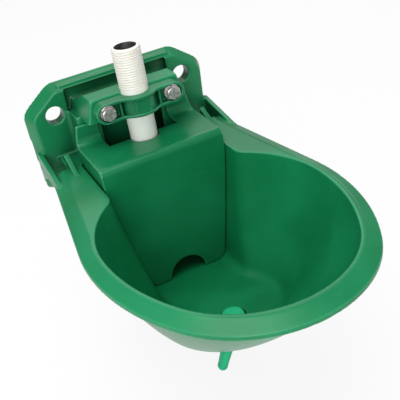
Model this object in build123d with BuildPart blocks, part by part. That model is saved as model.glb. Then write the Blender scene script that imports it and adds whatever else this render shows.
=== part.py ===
"""Wall-hung float bowl for livestock: an oval drinking bowl moulded in one piece with its back
plate and float chamber, a lift-off cover, a low-pressure float valve on a clamped riser pipe
and a pull-out drain plug.

Frame: +X to the right seen from the front, -Y towards the animal, +Z up. The wall is the plane
y = 0 and the origin lies on it, midway between the two wall bolts. Millimetres.
"""

import os
from math import acos, atan2, cos, degrees, radians, sin, sqrt, tan

from build123d import *

# ---- driving dimensions -------------------------------------------------------------------
WALL = 3.2                 # general moulding wall

# wall fixing
BOLT_SPACING = 106.0       # between the two wall holes
WALL_HOLE_R = 7.0
HOLE_BOSS_WALL = 3.2       # boss that backs each wall hole

# back plate, a shallow tray that opens towards the wall
PLATE_TOP = 22.0
PLATE_TOP_HALF = 51.0
EAR_Z = 4.0                # height of the widest point
EAR_HALF = 75.0
EAR_ROUND = 14.0
PLATE_FOOT = -62.0
PLATE_FOOT_HALF = 72.5
PLATE_CORNER = 5.0
PLATE_DEPTH = 11.0
PLATE_INSET = 5.0          # how far the front edge stands in from the wall edge
PLATE_SKIN = 4.5
PLATE_EDGE = 1.4           # rounding of the front edge

# sunk panel between the ears
PANEL_HALF = 42.0
PANEL_TOP = 17.2
PANEL_FOOT = -9.0
PANEL_DEPTH = 5.0          # below the ears' face

# tower, the back of the float chamber carried up the plate
TOWER_HALF = 42.0
TOWER_TOP = 0.0
TOWER_FOOT = -58.0
CHAMBER_BACK = -29.3       # front face of the tower and back wall of the chamber
TOWER_EDGE = 2.0
TOWER_BLEND = 3.5          # hollow rounding where the tower leaves the plate
WINDOW_FOOT = -31.0

# bowl, from the rim down to the floor
RIM_Z = -33.0
FLOOR_Z = -126.5           # at the cover's foot
FLOOR_TILT = 5.6           # degrees that the floor rises towards the front
FLOOR_WALL = 3.5
BOWL_HALF = 77.5           # half width at the rim
BOWL_MID = -160.7          # widest line at the rim
BOWL_FRONT = -262.7        # foremost point of the rim
FLOOR_HALF = 41.0
FLOOR_MID = -147.0
FLOOR_FRONT = -191.0
BOWL_SWEEP = 1.5           # 1 gives straight walls, more gives a rounder belly
NOSE_SHARE = 0.875         # front radius as a share of the half width
CHAMBER_HALF = 49.0        # float chamber at the rim
CHAMBER_FLOOR_HALF = 32.6
CHAMBER_SWEEP = 1.15
CHAMBER_DRAFT = 3.7        # the back wall leans forward by this much
CHAMBER_CORNER = 9.5
THROAT_ROUND = 13.0        # where the chamber opens into the bowl
FLOOR_ROUND = 9.0

# rim flange with its turned-down lip
FLANGE_HALF = 88.5
FLANGE_FRONT = -276.0
FLANGE_SHOULDER = 74.0     # half width beside the tower
FLANGE_KNEE = -45.0        # where the sides start to spread
KNEE_ROUND = 60.0
LIP_Z = -40.5
FLANGE_FALL = 4.0          # height the flange loses outwards
FLANGE_SLOPE = 10.0        # width over which it falls
FLANGE_SKIN = 3.0
FLANGE_ROUND = 6.0

# ribs and pockets beside the tower
GUSSET_OUT = 73.5
GUSSET_WALL = 3.8
GUSSET_TOP = -26.6
GUSSET_TIP_Y = -58.0
GUSSET_TIP_Z = -35.5
GUSSET_FOOT = -50.0        # on the plate, below the lip
GUSSET_FOOT_Y = -24.0
POCKET_Y = -34.6
POCKET_HALF_IN = 59.0
TAB_X = 57.0
TAB_WALL = 3.6
TAB_BACK_Y = -31.0
TAB_TOP = -23.5
TAB_TIP_Y = -51.5

# saddle block that takes the pipe, and the webs under it
PIPE_Y = -49.3
SADDLE_FRONT = -49.0
SADDLE_TOP = 17.4
SADDLE_TOP_HALF = 34.0
SADDLE_FOOT_HALF = 39.0
SADDLE_EDGE = 1.5
SADDLE_LAND_Y = -33.0      # the top is level this far back, then falls to the panel
SADDLE_FALL = 3.5          # height at which the fall meets the panel
SADDLE_CREST = 8.0         # rounding behind the level land
SADDLE_HOLLOW = 4.0        # hollow rounding at the panel
WEB_IN = 24.8
WEB_WALL = 2.5
WEB_FOOT = -20.9
CLAMP_Z = 8.3              # height of the clamp bolts
BOLT_X = 25.2
BOLT_R = 3.0
BOLT_HOLE_R = 3.2
HEX_FLAT = 10.0            # across flats, bolt and nut alike
NUT_THICK = 5.0
HEAD_THICK = 4.0
NUT_WALL = 11.0            # wall between the saddle face and the moulded-in nut
NUT_CLEAR = 0.15           # between the nut and the plastic round it
BOLT_ROOM = 1.0            # hole left beyond the bolt's end

# riser pipe, 1/2 inch male thread at the top
THREAD_R = 10.4775
PIPE_R = 10.3
PIPE_BORE_R = 7.5
PIPE_TOP = 48.8
THREAD_FOOT = 18.2
PIPE_FOOT = -46.0
PIPE_CHAMFER = 1.0
PIPE_FIT = 0.05            # radial clearance in the saddle and clamp

# clamp strap
STRAP_HEIGHT = 15.0
STRAP_HALF = 34.2
STRAP_GAP = 0.6            # to the saddle face
STRAP_WEB = 5.0
STRAP_LEDGE = 10.0         # depth of the top and bottom flanges
STRAP_BULGE = 16.6         # radius of the flanges round the pipe
STRAP_COVER = 4.0          # strap wall in front of the pipe
STRAP_RIM = 2.2            # flange thickness
STRAP_BOSS_R = 6.3
STRAP_BOSS = 1.6
STRAP_RIBS = (-15.0, -5.2, 5.2, 15.0)
STRAP_RIB = 1.5
WASHER_R = 5.9
WASHER_THICK = 1.2
WASHER_GAP = 0.4

# lift-off cover over the float chamber
COVER_TOP = -20.0
COVER_WALL = 2.6
COVER_BACK_GAP = 0.5
COVER_SIDE_GAP = 1.0
COVER_ROLL = 5.0           # where the top turns down
COVER_LEAN = 0.5           # the roll's upper end lies this far behind the face
COVER_FACE_TOP = -84.0
COVER_FACE_FOOT = -88.8
COVER_FOOT_GAP = 0.3
COVER_CORNER = 8.5
CHEEK_FOOT = -45.0
UPSTAND_TOP = -5.0         # the cover's back edge turns up under the saddle
UPSTAND_HALF = 44.8
UPSTAND_ROUND = 6.0
CUTOUT_HALF = 27.8
CUTOUT_Y = -49.3
NOTCH_R = 11.6
WATER_NOTCH_R = 14.7

# float valve under the pipe
SOCKET_R = 13.0
SOCKET_TOP = -30.0
SOCKET_FIT = 0.03
STRAINER_FLANGE = 1.0
STRAINER_R = 6.4
STRAINER_WALL = 0.9
STRAINER_TOP = -32.0
GASKET_THICK = 1.5
GASKET_R = 6.0
SPOUT_R = 10.4
SPOUT_FOOT = -66.0
NOZZLE_R = 5.0
NOZZLE_BORE_R = 2.5
NOZZLE_TIP_R = 3.6
NOZZLE_FOOT = -56.0
NOZZLE_TIP = 1.5
GUIDE_R = 8.0
GUIDE_FIT = 0.08
VALVE_GAP = 1.8            # open valve, seal to nozzle
SEAL_R = 6.0
SEAL_THICK = 2.5
SEAL_SHOW = 1.0            # height of the seal above its cup
SEAL_FIT = 0.02
PLUNGER_FOOT = -68.0
OUTLET_WIDTH = 7.0
OUTLET_HEIGHT = 5.0

# float lever
PIVOT_Y = -36.0
PIVOT_Z = -70.0
PIN_R = 1.5
PIN_FIT = 0.02
LEVER_FIT = 0.06
LUG_R = 3.8
LUG_IN = 5.3
LUG_WALL = 3.0
LEVER_HALF = 4.9
LEVER_THICK = 2.8
LEVER_HUB_R = 3.6
NUB_R = 2.0                # nub that lifts the plunger
PAD_R = 6.5                # round end of the lever, on the float's boss
PUSH_GAP = 0.3             # lever nub to plunger
CLIP_R = 3.0
CLIP_THICK = 0.8
CLIP_GAP = 0.1

# float
FLOAT_BACK = -42.0
FLOAT_FRONT = -76.0
FLOAT_TOP = -76.5
FLOAT_FOOT = -112.0
FLOAT_HALF = 27.0
FLOAT_TAPER = 4.0          # degrees
FLOAT_ROUND = 5.0
FLOAT_BOSS_R = 5.5
SCREW_Y = -66.5
SCREW_R = 2.5
SCREW_HOLE_R = 2.6
SCREW_HEX = 8.0
SCREW_HEAD = 3.5
SCREW_SINK_R = 6.2
SCREW_END = 1.5
FLOAT_WASHER_R = 5.0
FLOAT_WASHER = 1.0
FLOAT_NUT = 4.0

# drain plug
DRAIN_Y = -160.0
DRAIN_R = 6.2
DRAIN_SINK_R = 9.4
DRAIN_SINK = 1.6
PLUG_HEAD_R = 8.2
PLUG_HEAD = 3.2
PLUG_DOME = 1.2
PLUG_FIT = 0.05
STEM_SHOW = 0.2
PLUG_NECK_R = 4.5
PLUG_NECK = -7.8           # below the stem's foot
TAIL_KNEE = (-10.0, -0.5, -24.8)   # from the stem's foot
TAIL_TIP = (-14.6, -1.0, -34.8)
TAIL_KNEE_R = 4.4
TAIL_TIP_R = 3.8

# ---- shared positions ---------------------------------------------------------------------
PLATE_FACE = -PLATE_DEPTH
PANEL_FACE = PLATE_FACE + PANEL_DEPTH
PLATE_DRAFT = degrees(atan2(PLATE_INSET, PLATE_DEPTH))
NUT_Y = SADDLE_FRONT + NUT_WALL
BOLT_END = NUT_Y + NUT_THICK + BOLT_R / 2
STRAP_BACK = SADDLE_FRONT - STRAP_GAP
STRAP_FACE = STRAP_BACK - STRAP_WEB
GASKET_TOP = PIPE_FOOT - STRAINER_FLANGE
NOZZLE_TOP = GASKET_TOP - GASKET_THICK
NOZZLE_END = NOZZLE_FOOT - NOZZLE_TIP
SEAL_TOP = NOZZLE_END - VALVE_GAP
PLUNGER_TOP = SEAL_TOP - SEAL_SHOW
NUB_TOP = PLUNGER_FOOT - PUSH_GAP
ARM_TOP = NUB_TOP - NUB_R
ARM_FOOT = ARM_TOP - LEVER_THICK
NUT_TOP = ARM_TOP + FLOAT_WASHER + FLOAT_NUT
DRAIN_Z = FLOOR_Z + (COVER_FACE_FOOT - DRAIN_Y) * tan(radians(FLOOR_TILT))
STEM_FOOT = DRAIN_Z - FLOOR_WALL - STEM_SHOW
COVER_HALF = CHAMBER_HALF - COVER_SIDE_GAP
HALF_TURN = 180.0


def from_front(y):
    """Upright plane at depth y, seen from the front: x to the right, y up."""
    return Plane(origin=(0, y, 0), x_dir=(1, 0, 0), z_dir=(0, -1, 0))


def ease(start, end, share, sweep=1.0):
    """Value between start and end after a share of the way, bent by sweep."""
    return start + (end - start) * share**sweep


def oval_arcs(half, mid, front):
    """Front half of an oval that is as wide as half at mid and reaches to front."""
    nose = NOSE_SHARE * half
    lead = (mid - front) - nose
    side = (lead**2 + half**2 - nose**2) / (2 * (half - nose))
    swing = degrees(atan2(lead, side - half))
    CenterArc((side - half, mid), side, HALF_TURN, swing)
    CenterArc((0, mid - lead), nose, HALF_TURN + swing, HALF_TURN - 2 * swing)
    CenterArc((half - side, mid), side, -swing, swing)
    return side


def basin_section(share, grow):
    """Plan section of the basin: the float chamber at the back opens into the oval bowl.

    share runs from 0 at the rim to 1 at the floor; grow is the wall outside the cavity. The
    sections tip about the cover's foot, so that the floor rises towards the front."""
    half = ease(BOWL_HALF, FLOOR_HALF, share, BOWL_SWEEP) + grow
    mid = ease(BOWL_MID, FLOOR_MID, share, BOWL_SWEEP) - COVER_FACE_FOOT
    front = ease(BOWL_FRONT, FLOOR_FRONT, share, BOWL_SWEEP) - grow - COVER_FACE_FOOT
    chamber = ease(CHAMBER_HALF, CHAMBER_FLOOR_HALF, share, CHAMBER_SWEEP) + grow
    back = CHAMBER_BACK - CHAMBER_DRAFT * share + grow - COVER_FACE_FOOT
    throat = degrees(acos(chamber / half))
    throat_y = mid + half * sin(radians(throat))
    depth = ease(RIM_Z, FLOOR_Z - (FLOOR_WALL if grow else 0), share)
    tip = radians(FLOOR_TILT * share)
    level = Plane((0, COVER_FACE_FOOT, depth), x_dir=(1, 0, 0), z_dir=(0, sin(tip), cos(tip)))
    with BuildSketch(level) as section:
        with BuildLine():
            Polyline((chamber, throat_y), (chamber, back), (-chamber, back), (-chamber, throat_y))
            CenterArc((0, mid), half, HALF_TURN - throat, throat)
            oval_arcs(half, mid, front)
            CenterArc((0, mid), half, 0, throat)
        make_face()
        fillet(section.vertices().group_by(Axis.Y)[-2], THROAT_ROUND)
        fillet(section.vertices().group_by(Axis.Y)[-1], CHAMBER_CORNER + grow)
    return section.sketch


def flange_section(inset, depth):
    """Plan outline of the rim flange, from the plate round the bowl, stepped in by inset."""
    half = FLANGE_HALF - inset
    front = FLANGE_FRONT + inset
    shoulder = FLANGE_SHOULDER - inset
    nose = NOSE_SHARE * half
    lead = (BOWL_MID - front) - nose
    side = (lead**2 + half**2 - nose**2) / (2 * (half - nose))
    swing = degrees(atan2(lead, side - half))
    # tangent from the knee to the side arc
    reach_x = shoulder - (half - side)
    reach_y = FLANGE_KNEE - BOWL_MID
    rise = degrees(atan2(reach_y, reach_x) - acos(side / sqrt(reach_x**2 + reach_y**2)))
    touch_x = half - side + side * cos(radians(rise))
    touch_y = BOWL_MID + side * sin(radians(rise))
    with BuildSketch(Plane.XY.offset(depth)) as section:
        with BuildLine():
            Polyline(
                (touch_x, touch_y),
                (shoulder, FLANGE_KNEE),
                (shoulder, PANEL_FACE),
                (-shoulder, PANEL_FACE),
                (-shoulder, FLANGE_KNEE),
                (-touch_x, touch_y),
            )
            CenterArc((side - half, BOWL_MID), side, HALF_TURN - rise, rise + swing)
            CenterArc((0, BOWL_MID - lead), nose, HALF_TURN + swing, HALF_TURN - 2 * swing)
            CenterArc((half - side, BOWL_MID), side, -swing, swing + rise)
        make_face()
        fillet(section.vertices().filter_by_position(Axis.Y, FLANGE_KNEE, FLANGE_KNEE), KNEE_ROUND)
    return section.sketch


def plate_section(inset):
    """Front view of the back plate."""
    with BuildSketch(from_front(0)) as section:
        with BuildLine():
            Polyline(
                (PLATE_FOOT_HALF, PLATE_FOOT),
                (EAR_HALF, EAR_Z),
                (PLATE_TOP_HALF, PLATE_TOP),
                (-PLATE_TOP_HALF, PLATE_TOP),
                (-EAR_HALF, EAR_Z),
                (-PLATE_FOOT_HALF, PLATE_FOOT),
                close=True,
            )
        make_face()
        fillet(section.vertices().filter_by_position(Axis.Y, EAR_Z, EAR_Z), EAR_ROUND)
        fillet(section.vertices().group_by(Axis.Y)[0], PLATE_CORNER)
        fillet(section.vertices().group_by(Axis.Y)[-1], EAR_ROUND)
        offset(amount=-inset)
    return section.sketch


def write(piece, name):
    """Label a finished piece and write its own STEP file."""
    piece.part.label = name
    export_step(piece.part, f"parts/{name}.step")


os.makedirs("parts", exist_ok=True)
SHARES = (0.0, 0.3, 0.6, 0.85, 1.0)

# ---- bowl body, one moulding --------------------------------------------------------------
# back plate: a drafted tray, open towards the wall
with BuildPart() as plate:
    extrude(plate_section(0), amount=PLATE_DEPTH, taper=PLATE_DRAFT)
    fillet(plate.faces().sort_by(Axis.Y)[0].edges(), PLATE_EDGE)
    extrude(
        plate_section(WALL),
        amount=PLATE_DEPTH - PLATE_SKIN,
        taper=PLATE_DRAFT,
        mode=Mode.SUBTRACT,
    )

# rim flange: slopes outwards and turns down into a lip, hollow underneath
with BuildPart() as flange:
    extrude(flange_section(0, LIP_Z), amount=RIM_Z - LIP_Z)
    top = flange.faces().sort_by(Axis.Z)[-1]
    outer = top.edges() - top.edges().filter_by_position(Axis.Y, PANEL_FACE, PANEL_FACE)
    chamfer(outer, FLANGE_SLOPE, FLANGE_FALL, reference=top)
    fillet(
        flange.faces().sort_by(Axis.Z)[-1].edges() - flange.edges().filter_by_position(
            Axis.Y, PANEL_FACE, PANEL_FACE
        ),
        FLANGE_ROUND,
    )
with BuildPart() as flange_core:
    extrude(flange_section(FLANGE_SKIN, LIP_Z), amount=RIM_Z - FLANGE_SKIN - LIP_Z)
    top = flange_core.faces().sort_by(Axis.Z)[-1]
    chamfer(
        top.edges() - top.edges().filter_by_position(Axis.Y, PANEL_FACE, PANEL_FACE),
        FLANGE_SLOPE,
        FLANGE_FALL,
        reference=top,
    )
with BuildPart() as rim:
    add(flange)
    add(flange_core, mode=Mode.SUBTRACT)

# basin: outside skin and cavity follow the same sections
with BuildPart() as basin:
    loft([basin_section(share, WALL) for share in SHARES])
    fillet(basin.faces().sort_by(Axis.Z)[0].edges(), FLOOR_ROUND + WALL / 2)
with BuildPart() as cavity:
    loft([basin_section(share, 0) for share in SHARES])
    fillet(cavity.faces().sort_by(Axis.Z)[0].edges(), FLOOR_ROUND)
    extrude(cavity.faces().sort_by(Axis.Z)[-1], amount=-RIM_Z)

def saddle_fall(y):
    """Height of the saddle's top behind its level land."""
    share = (y - SADDLE_LAND_Y) / (PANEL_FACE - SADDLE_LAND_Y)
    return ease(SADDLE_TOP, SADDLE_FALL, share)


# saddle block with half-round pipe seat; its top falls to the panel behind a level land
with BuildPart() as saddle:
    with BuildSketch(from_front(PANEL_FACE + WALL / 2)):
        with BuildLine():
            Polyline(
                (SADDLE_FOOT_HALF, TOWER_TOP - WALL / 2),
                (SADDLE_TOP_HALF, SADDLE_TOP),
                (-SADDLE_TOP_HALF, SADDLE_TOP),
                (-SADDLE_FOOT_HALF, TOWER_TOP - WALL / 2),
                close=True,
            )
        make_face()
    extrude(amount=PANEL_FACE + WALL / 2 - SADDLE_FRONT)
    fillet(saddle.edges().filter_by(GeomType.LINE).group_by(Axis.Y)[0], SADDLE_EDGE)
    with BuildSketch(Plane.YZ.offset(-SADDLE_FOOT_HALF)) as fall:
        with BuildLine():
            Polyline(
                (SADDLE_LAND_Y, SADDLE_TOP),
                (PANEL_FACE, SADDLE_FALL),
                (PANEL_FACE, SADDLE_TOP + WALL),
                (SADDLE_LAND_Y, SADDLE_TOP + WALL),
                close=True,
            )
        make_face()
        fillet(fall.vertices().group_by(Axis.Y)[0], SADDLE_HOLLOW)
    extrude(amount=2 * SADDLE_FOOT_HALF, mode=Mode.SUBTRACT)
    land_end = saddle.edges().filter_by(Axis.X).filter_by_position(
        Axis.Y, SADDLE_LAND_Y, SADDLE_LAND_Y
    )
    fillet(land_end.filter_by_position(Axis.Z, SADDLE_TOP, SADDLE_TOP), SADDLE_CREST)

with BuildPart() as bowl_body:
    add(plate)
    # sunk panel between the ears and its stepped edge
    with BuildSketch(from_front(PANEL_FACE + WALL)):
        with Locations((0, (PANEL_TOP + PANEL_FOOT) / 2)):
            Rectangle(2 * (PANEL_HALF + WALL), PANEL_TOP - PANEL_FOOT + 2 * WALL)
    extrude(amount=PANEL_DEPTH + WALL - PLATE_SKIN / 2)
    with BuildSketch(from_front(PLATE_FACE)):
        with Locations((0, (PANEL_TOP + PANEL_FOOT) / 2)):
            RectangleRounded(2 * PANEL_HALF, PANEL_TOP - PANEL_FOOT, PLATE_EDGE)
    extrude(amount=-PANEL_DEPTH, mode=Mode.SUBTRACT)
    # tower
    with BuildSketch(Plane.XY.offset(TOWER_FOOT)) as tower_plan:
        with Locations((0, (PLATE_FACE + CHAMBER_BACK) / 2)):
            Rectangle(2 * TOWER_HALF, PLATE_FACE - CHAMBER_BACK)
        fillet(tower_plan.vertices().group_by(Axis.Y)[0], TOWER_EDGE)
        with Locations((0, PLATE_FACE + PLATE_SKIN / 2)):
            Rectangle(2 * (TOWER_HALF + TOWER_BLEND + TOWER_EDGE), PLATE_SKIN)
        feet = tower_plan.vertices().filter_by_position(Axis.Y, PLATE_FACE, PLATE_FACE)
        fillet(feet.filter_by_position(Axis.X, -TOWER_HALF, TOWER_HALF), TOWER_BLEND)
    extrude(amount=TOWER_TOP - TOWER_FOOT)
    add(saddle)
    add(rim)
    add(basin)
    # gussets from the plate's edge to the shoulder
    for side in (-1, 1):
        with BuildSketch(Plane.YZ.offset(side * (GUSSET_OUT - GUSSET_WALL / 2))):
            with BuildLine():
                Polyline(
                    (PANEL_FACE, GUSSET_TOP),
                    (PLATE_FACE, GUSSET_TOP),
                    (GUSSET_TIP_Y, GUSSET_TIP_Z),
                    (GUSSET_TIP_Y, LIP_Z),
                    (GUSSET_FOOT_Y, LIP_Z),
                    (PANEL_FACE, GUSSET_FOOT),
                    close=True,
                )
            make_face()
        extrude(amount=GUSSET_WALL / 2, both=True)
        with BuildSketch(Plane.YZ.offset(side * TAB_X)):
            with BuildLine():
                Polyline(
                    (TAB_BACK_Y, RIM_Z - FLANGE_SKIN),
                    (TAB_BACK_Y, TAB_TOP),
                    (TAB_TIP_Y, RIM_Z),
                    (TAB_TIP_Y, RIM_Z - FLANGE_SKIN),
                    close=True,
                )
            make_face()
        extrude(amount=TAB_WALL / 2, both=True)
    # pockets behind the shoulder's back edge
    with BuildSketch(Plane.XY.offset(LIP_Z)):
        pocket_in = POCKET_HALF_IN
        pocket_out = GUSSET_OUT - GUSSET_WALL
        for side in (-1, 1):
            with Locations((side * (pocket_in + pocket_out) / 2, (POCKET_Y + PLATE_FACE) / 2)):
                Rectangle(pocket_out - pocket_in, PLATE_FACE - POCKET_Y)
    extrude(amount=RIM_Z - LIP_Z, mode=Mode.SUBTRACT)
    # tower cored from below, with the valve window in its front
    with BuildSketch(Plane.XY.offset(PLATE_FOOT)):
        with Locations((0, (CHAMBER_BACK + WALL + PLATE_FACE) / 2)):
            Rectangle(2 * (TOWER_HALF - WALL), PLATE_FACE - CHAMBER_BACK - WALL)
    extrude(amount=TOWER_TOP - WALL - PLATE_FOOT, mode=Mode.SUBTRACT)
    with BuildSketch(from_front(CHAMBER_BACK + 2 * WALL)):
        with Locations((0, (WINDOW_FOOT + TOWER_TOP - WALL) / 2)):
            Rectangle(2 * WEB_IN, TOWER_TOP - WALL - WINDOW_FOOT)
    extrude(amount=3 * WALL, mode=Mode.SUBTRACT)
    # the coring runs on under the saddle's fall
    core_y = CHAMBER_BACK + WALL
    with BuildSketch(Plane.YZ.offset(WALL - SADDLE_TOP_HALF)):
        with BuildLine():
            Polyline(
                (PLATE_FACE, TOWER_TOP - 2 * WALL),
                (core_y, TOWER_TOP - 2 * WALL),
                (core_y, saddle_fall(core_y) - WALL),
                (PLATE_FACE, saddle_fall(PLATE_FACE) - WALL),
                close=True,
            )
        make_face()
    extrude(amount=2 * (SADDLE_TOP_HALF - WALL), mode=Mode.SUBTRACT)
    # webs that carry the saddle
    for side in (-1, 1):
        with BuildSketch(Plane.YZ.offset(side * (WEB_IN + WEB_WALL / 2))):
            with BuildLine():
                Polyline(
                    (CHAMBER_BACK, TOWER_TOP),
                    (SADDLE_FRONT, TOWER_TOP),
                    (SADDLE_FRONT + SADDLE_EDGE, WEB_FOOT),
                    (CHAMBER_BACK, WEB_FOOT),
                    close=True,
                )
            make_face()
        extrude(amount=WEB_WALL / 2, both=True)
    # pipe seat
    with BuildSketch(Plane.XY.offset(TOWER_TOP - WALL)):
        with Locations((0, PIPE_Y)):
            Circle(PIPE_R + PIPE_FIT)
    extrude(amount=SADDLE_TOP + 2 * WALL, mode=Mode.SUBTRACT)
    # clamp bolt holes and the room of the moulded-in nuts
    with BuildSketch(from_front(BOLT_END + BOLT_ROOM)):
        with Locations((-BOLT_X, CLAMP_Z), (BOLT_X, CLAMP_Z)):
            Circle(BOLT_HOLE_R)
    extrude(amount=BOLT_END + BOLT_ROOM - SADDLE_FRONT + WALL, mode=Mode.SUBTRACT)
    with BuildSketch(from_front(NUT_Y + NUT_THICK + NUT_CLEAR)):
        with Locations((-BOLT_X, CLAMP_Z), (BOLT_X, CLAMP_Z)):
            RegularPolygon(HEX_FLAT / 2 + NUT_CLEAR, 6, major_radius=False)
    extrude(amount=NUT_THICK + NUT_CLEAR, mode=Mode.SUBTRACT)
    # bosses behind the wall holes, then the holes
    with BuildSketch(from_front(0)):
        with Locations((-BOLT_SPACING / 2, 0), (BOLT_SPACING / 2, 0)):
            Circle(WALL_HOLE_R + HOLE_BOSS_WALL)
    extrude(amount=PLATE_DEPTH - PLATE_SKIN / 2)
    with BuildSketch(from_front(0)):
        with Locations((-BOLT_SPACING / 2, 0), (BOLT_SPACING / 2, 0)):
            Circle(WALL_HOLE_R)
    extrude(amount=PLATE_DEPTH, mode=Mode.SUBTRACT)
    add(cavity, mode=Mode.SUBTRACT)
    # drain hole with a sunk ring for the plug's head
    with BuildSketch(Plane.XY.offset(DRAIN_Z + WALL)):
        with Locations((0, DRAIN_Y)):
            Circle(DRAIN_SINK_R)
    extrude(amount=-WALL - DRAIN_SINK, mode=Mode.SUBTRACT)
    with BuildSketch(Plane.XY.offset(DRAIN_Z)):
        with Locations((0, DRAIN_Y)):
            Circle(DRAIN_R)
    extrude(amount=-2 * FLOOR_WALL, mode=Mode.SUBTRACT)
write(bowl_body, "bowl_body")


# ---- cover --------------------------------------------------------------------------------
def cover_side(inset, spare):
    """Side view of the cover: flat top, roll, then the face down to the floor.

    inset steps in from the outside; spare runs the section past the back and the foot."""
    top = COVER_TOP - inset
    foot = FLOOR_Z + COVER_FOOT_GAP - spare
    back = CHAMBER_BACK - COVER_BACK_GAP + spare
    with BuildSketch(Plane.YZ.offset(-CHAMBER_HALF)) as section:
        with BuildLine():
            Polyline(
                (back, top),
                (COVER_FACE_TOP + COVER_LEAN + inset, top),
                (COVER_FACE_TOP + inset, COVER_TOP - COVER_ROLL),
                (COVER_FACE_FOOT + inset, foot),
                (back, foot),
                close=True,
            )
        make_face()
        fillet(section.vertices().group_by(Axis.Y)[-1].sort_by(Axis.X)[0], COVER_ROLL - inset)
    return section.sketch


def cover_front(inset, spare):
    """Front view of the cover: it follows the chamber's walls with a side gap."""
    half = COVER_HALF - inset
    foot_half = CHAMBER_FLOOR_HALF - COVER_SIDE_GAP - inset
    middle = ease(CHAMBER_HALF, CHAMBER_FLOOR_HALF, 0.5, CHAMBER_SWEEP) - COVER_SIDE_GAP - inset
    foot = FLOOR_Z + COVER_FOOT_GAP
    with BuildSketch(from_front(0)) as section:
        with BuildLine():
            Polyline((-half, RIM_Z), (-half, COVER_TOP + spare), (half, COVER_TOP + spare), (half, RIM_Z))
            ThreePointArc((half, RIM_Z), (middle, ease(RIM_Z, FLOOR_Z, 0.5)), (foot_half, foot))
            Line((foot_half, foot), (-foot_half, foot))
            ThreePointArc((-foot_half, foot), (-middle, ease(RIM_Z, FLOOR_Z, 0.5)), (-half, RIM_Z))
        make_face()
        fillet(section.vertices().group_by(Axis.Y)[0], COVER_CORNER)
    return section.sketch


with BuildPart() as cover_shell:
    extrude(cover_side(0, 0), amount=2 * CHAMBER_HALF)
    extrude(cover_front(0, 0), amount=-FLANGE_FRONT, mode=Mode.INTERSECT)
with BuildPart() as cover_space:
    extrude(cover_side(COVER_WALL, WALL), amount=2 * CHAMBER_HALF)
    extrude(cover_front(COVER_WALL, WALL), amount=-FLANGE_FRONT, both=True, mode=Mode.INTERSECT)
with BuildPart() as below_cheeks:
    extrude(cover_side(COVER_WALL, WALL), amount=2 * CHAMBER_HALF)
    split(bisect_by=Plane.XY.offset(CHEEK_FOOT), keep=Keep.BOTTOM)
    # the cheeks clear the chamber's round back corners
    with BuildSketch(Plane.XY.offset(CHEEK_FOOT)):
        with Locations((0, CHAMBER_BACK)):
            Rectangle(2 * CHAMBER_HALF, 2 * (CHAMBER_CORNER + COVER_SIDE_GAP))
    extrude(amount=RIM_Z + COVER_SIDE_GAP - CHEEK_FOOT)

with BuildPart() as float_cover:
    add(cover_shell)
    add(cover_space, mode=Mode.SUBTRACT)
    add(below_cheeks, mode=Mode.SUBTRACT)
    # upstand along the back edge
    with BuildSketch(from_front(CHAMBER_BACK - COVER_BACK_GAP)):
        with BuildLine():
            Polyline(
                (-COVER_HALF, COVER_TOP - COVER_WALL / 2),
                (-COVER_HALF, COVER_TOP),
                (-UPSTAND_HALF, UPSTAND_TOP),
                (UPSTAND_HALF, UPSTAND_TOP),
                (COVER_HALF, COVER_TOP),
                (COVER_HALF, COVER_TOP - COVER_WALL / 2),
                close=True,
            )
        make_face()
    extrude(amount=COVER_WALL)
    foot_y = CHAMBER_BACK - COVER_BACK_GAP - COVER_WALL
    inner_edges = float_cover.edges().filter_by(Axis.X).filter_by_position(Axis.Z, COVER_TOP, COVER_TOP)
    fillet(inner_edges.filter_by_position(Axis.Y, foot_y, foot_y), UPSTAND_ROUND)
    # opening for the webs and the pipe
    with BuildSketch(Plane.XY.offset(UPSTAND_TOP)):
        with Locations((0, PIPE_Y)):
            Circle(NOTCH_R)
        with Locations((0, (CUTOUT_Y + CHAMBER_BACK) / 2)):
            Rectangle(2 * CUTOUT_HALF, CHAMBER_BACK - CUTOUT_Y)
    extrude(amount=COVER_TOP - 2 * COVER_WALL - UPSTAND_TOP, mode=Mode.SUBTRACT)
    # water passage at the foot
    with BuildSketch(from_front(COVER_FACE_TOP + WALL)):
        with Locations((0, FLOOR_Z + COVER_FOOT_GAP)):
            Circle(WATER_NOTCH_R)
    extrude(amount=COVER_FACE_TOP + 2 * WALL - COVER_FACE_FOOT, mode=Mode.SUBTRACT)
write(float_cover, "float_cover")

# ---- riser pipe ---------------------------------------------------------------------------
with BuildPart() as inlet_pipe:
    with BuildSketch(Plane.XY.offset(PIPE_FOOT)):
        with Locations((0, PIPE_Y)):
            Circle(PIPE_R)
    extrude(amount=THREAD_FOOT - PIPE_FOOT)
    with BuildSketch(Plane.XY.offset(THREAD_FOOT)):
        with Locations((0, PIPE_Y)):
            Circle(THREAD_R)
    extrude(amount=PIPE_TOP - THREAD_FOOT)
    chamfer(inlet_pipe.edges().sort_by(Axis.Z)[-1], PIPE_CHAMFER)
    with BuildSketch(Plane.XY.offset(PIPE_FOOT)):
        with Locations((0, PIPE_Y)):
            Circle(PIPE_BORE_R)
    extrude(amount=PIPE_TOP - PIPE_FOOT, mode=Mode.SUBTRACT)
write(inlet_pipe, "inlet_pipe")

# ---- clamp strap and its fasteners --------------------------------------------------------
BOLTS = ((-BOLT_X, CLAMP_Z), (BOLT_X, CLAMP_Z))
BOSS_FACE = STRAP_FACE - STRAP_BOSS

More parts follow.
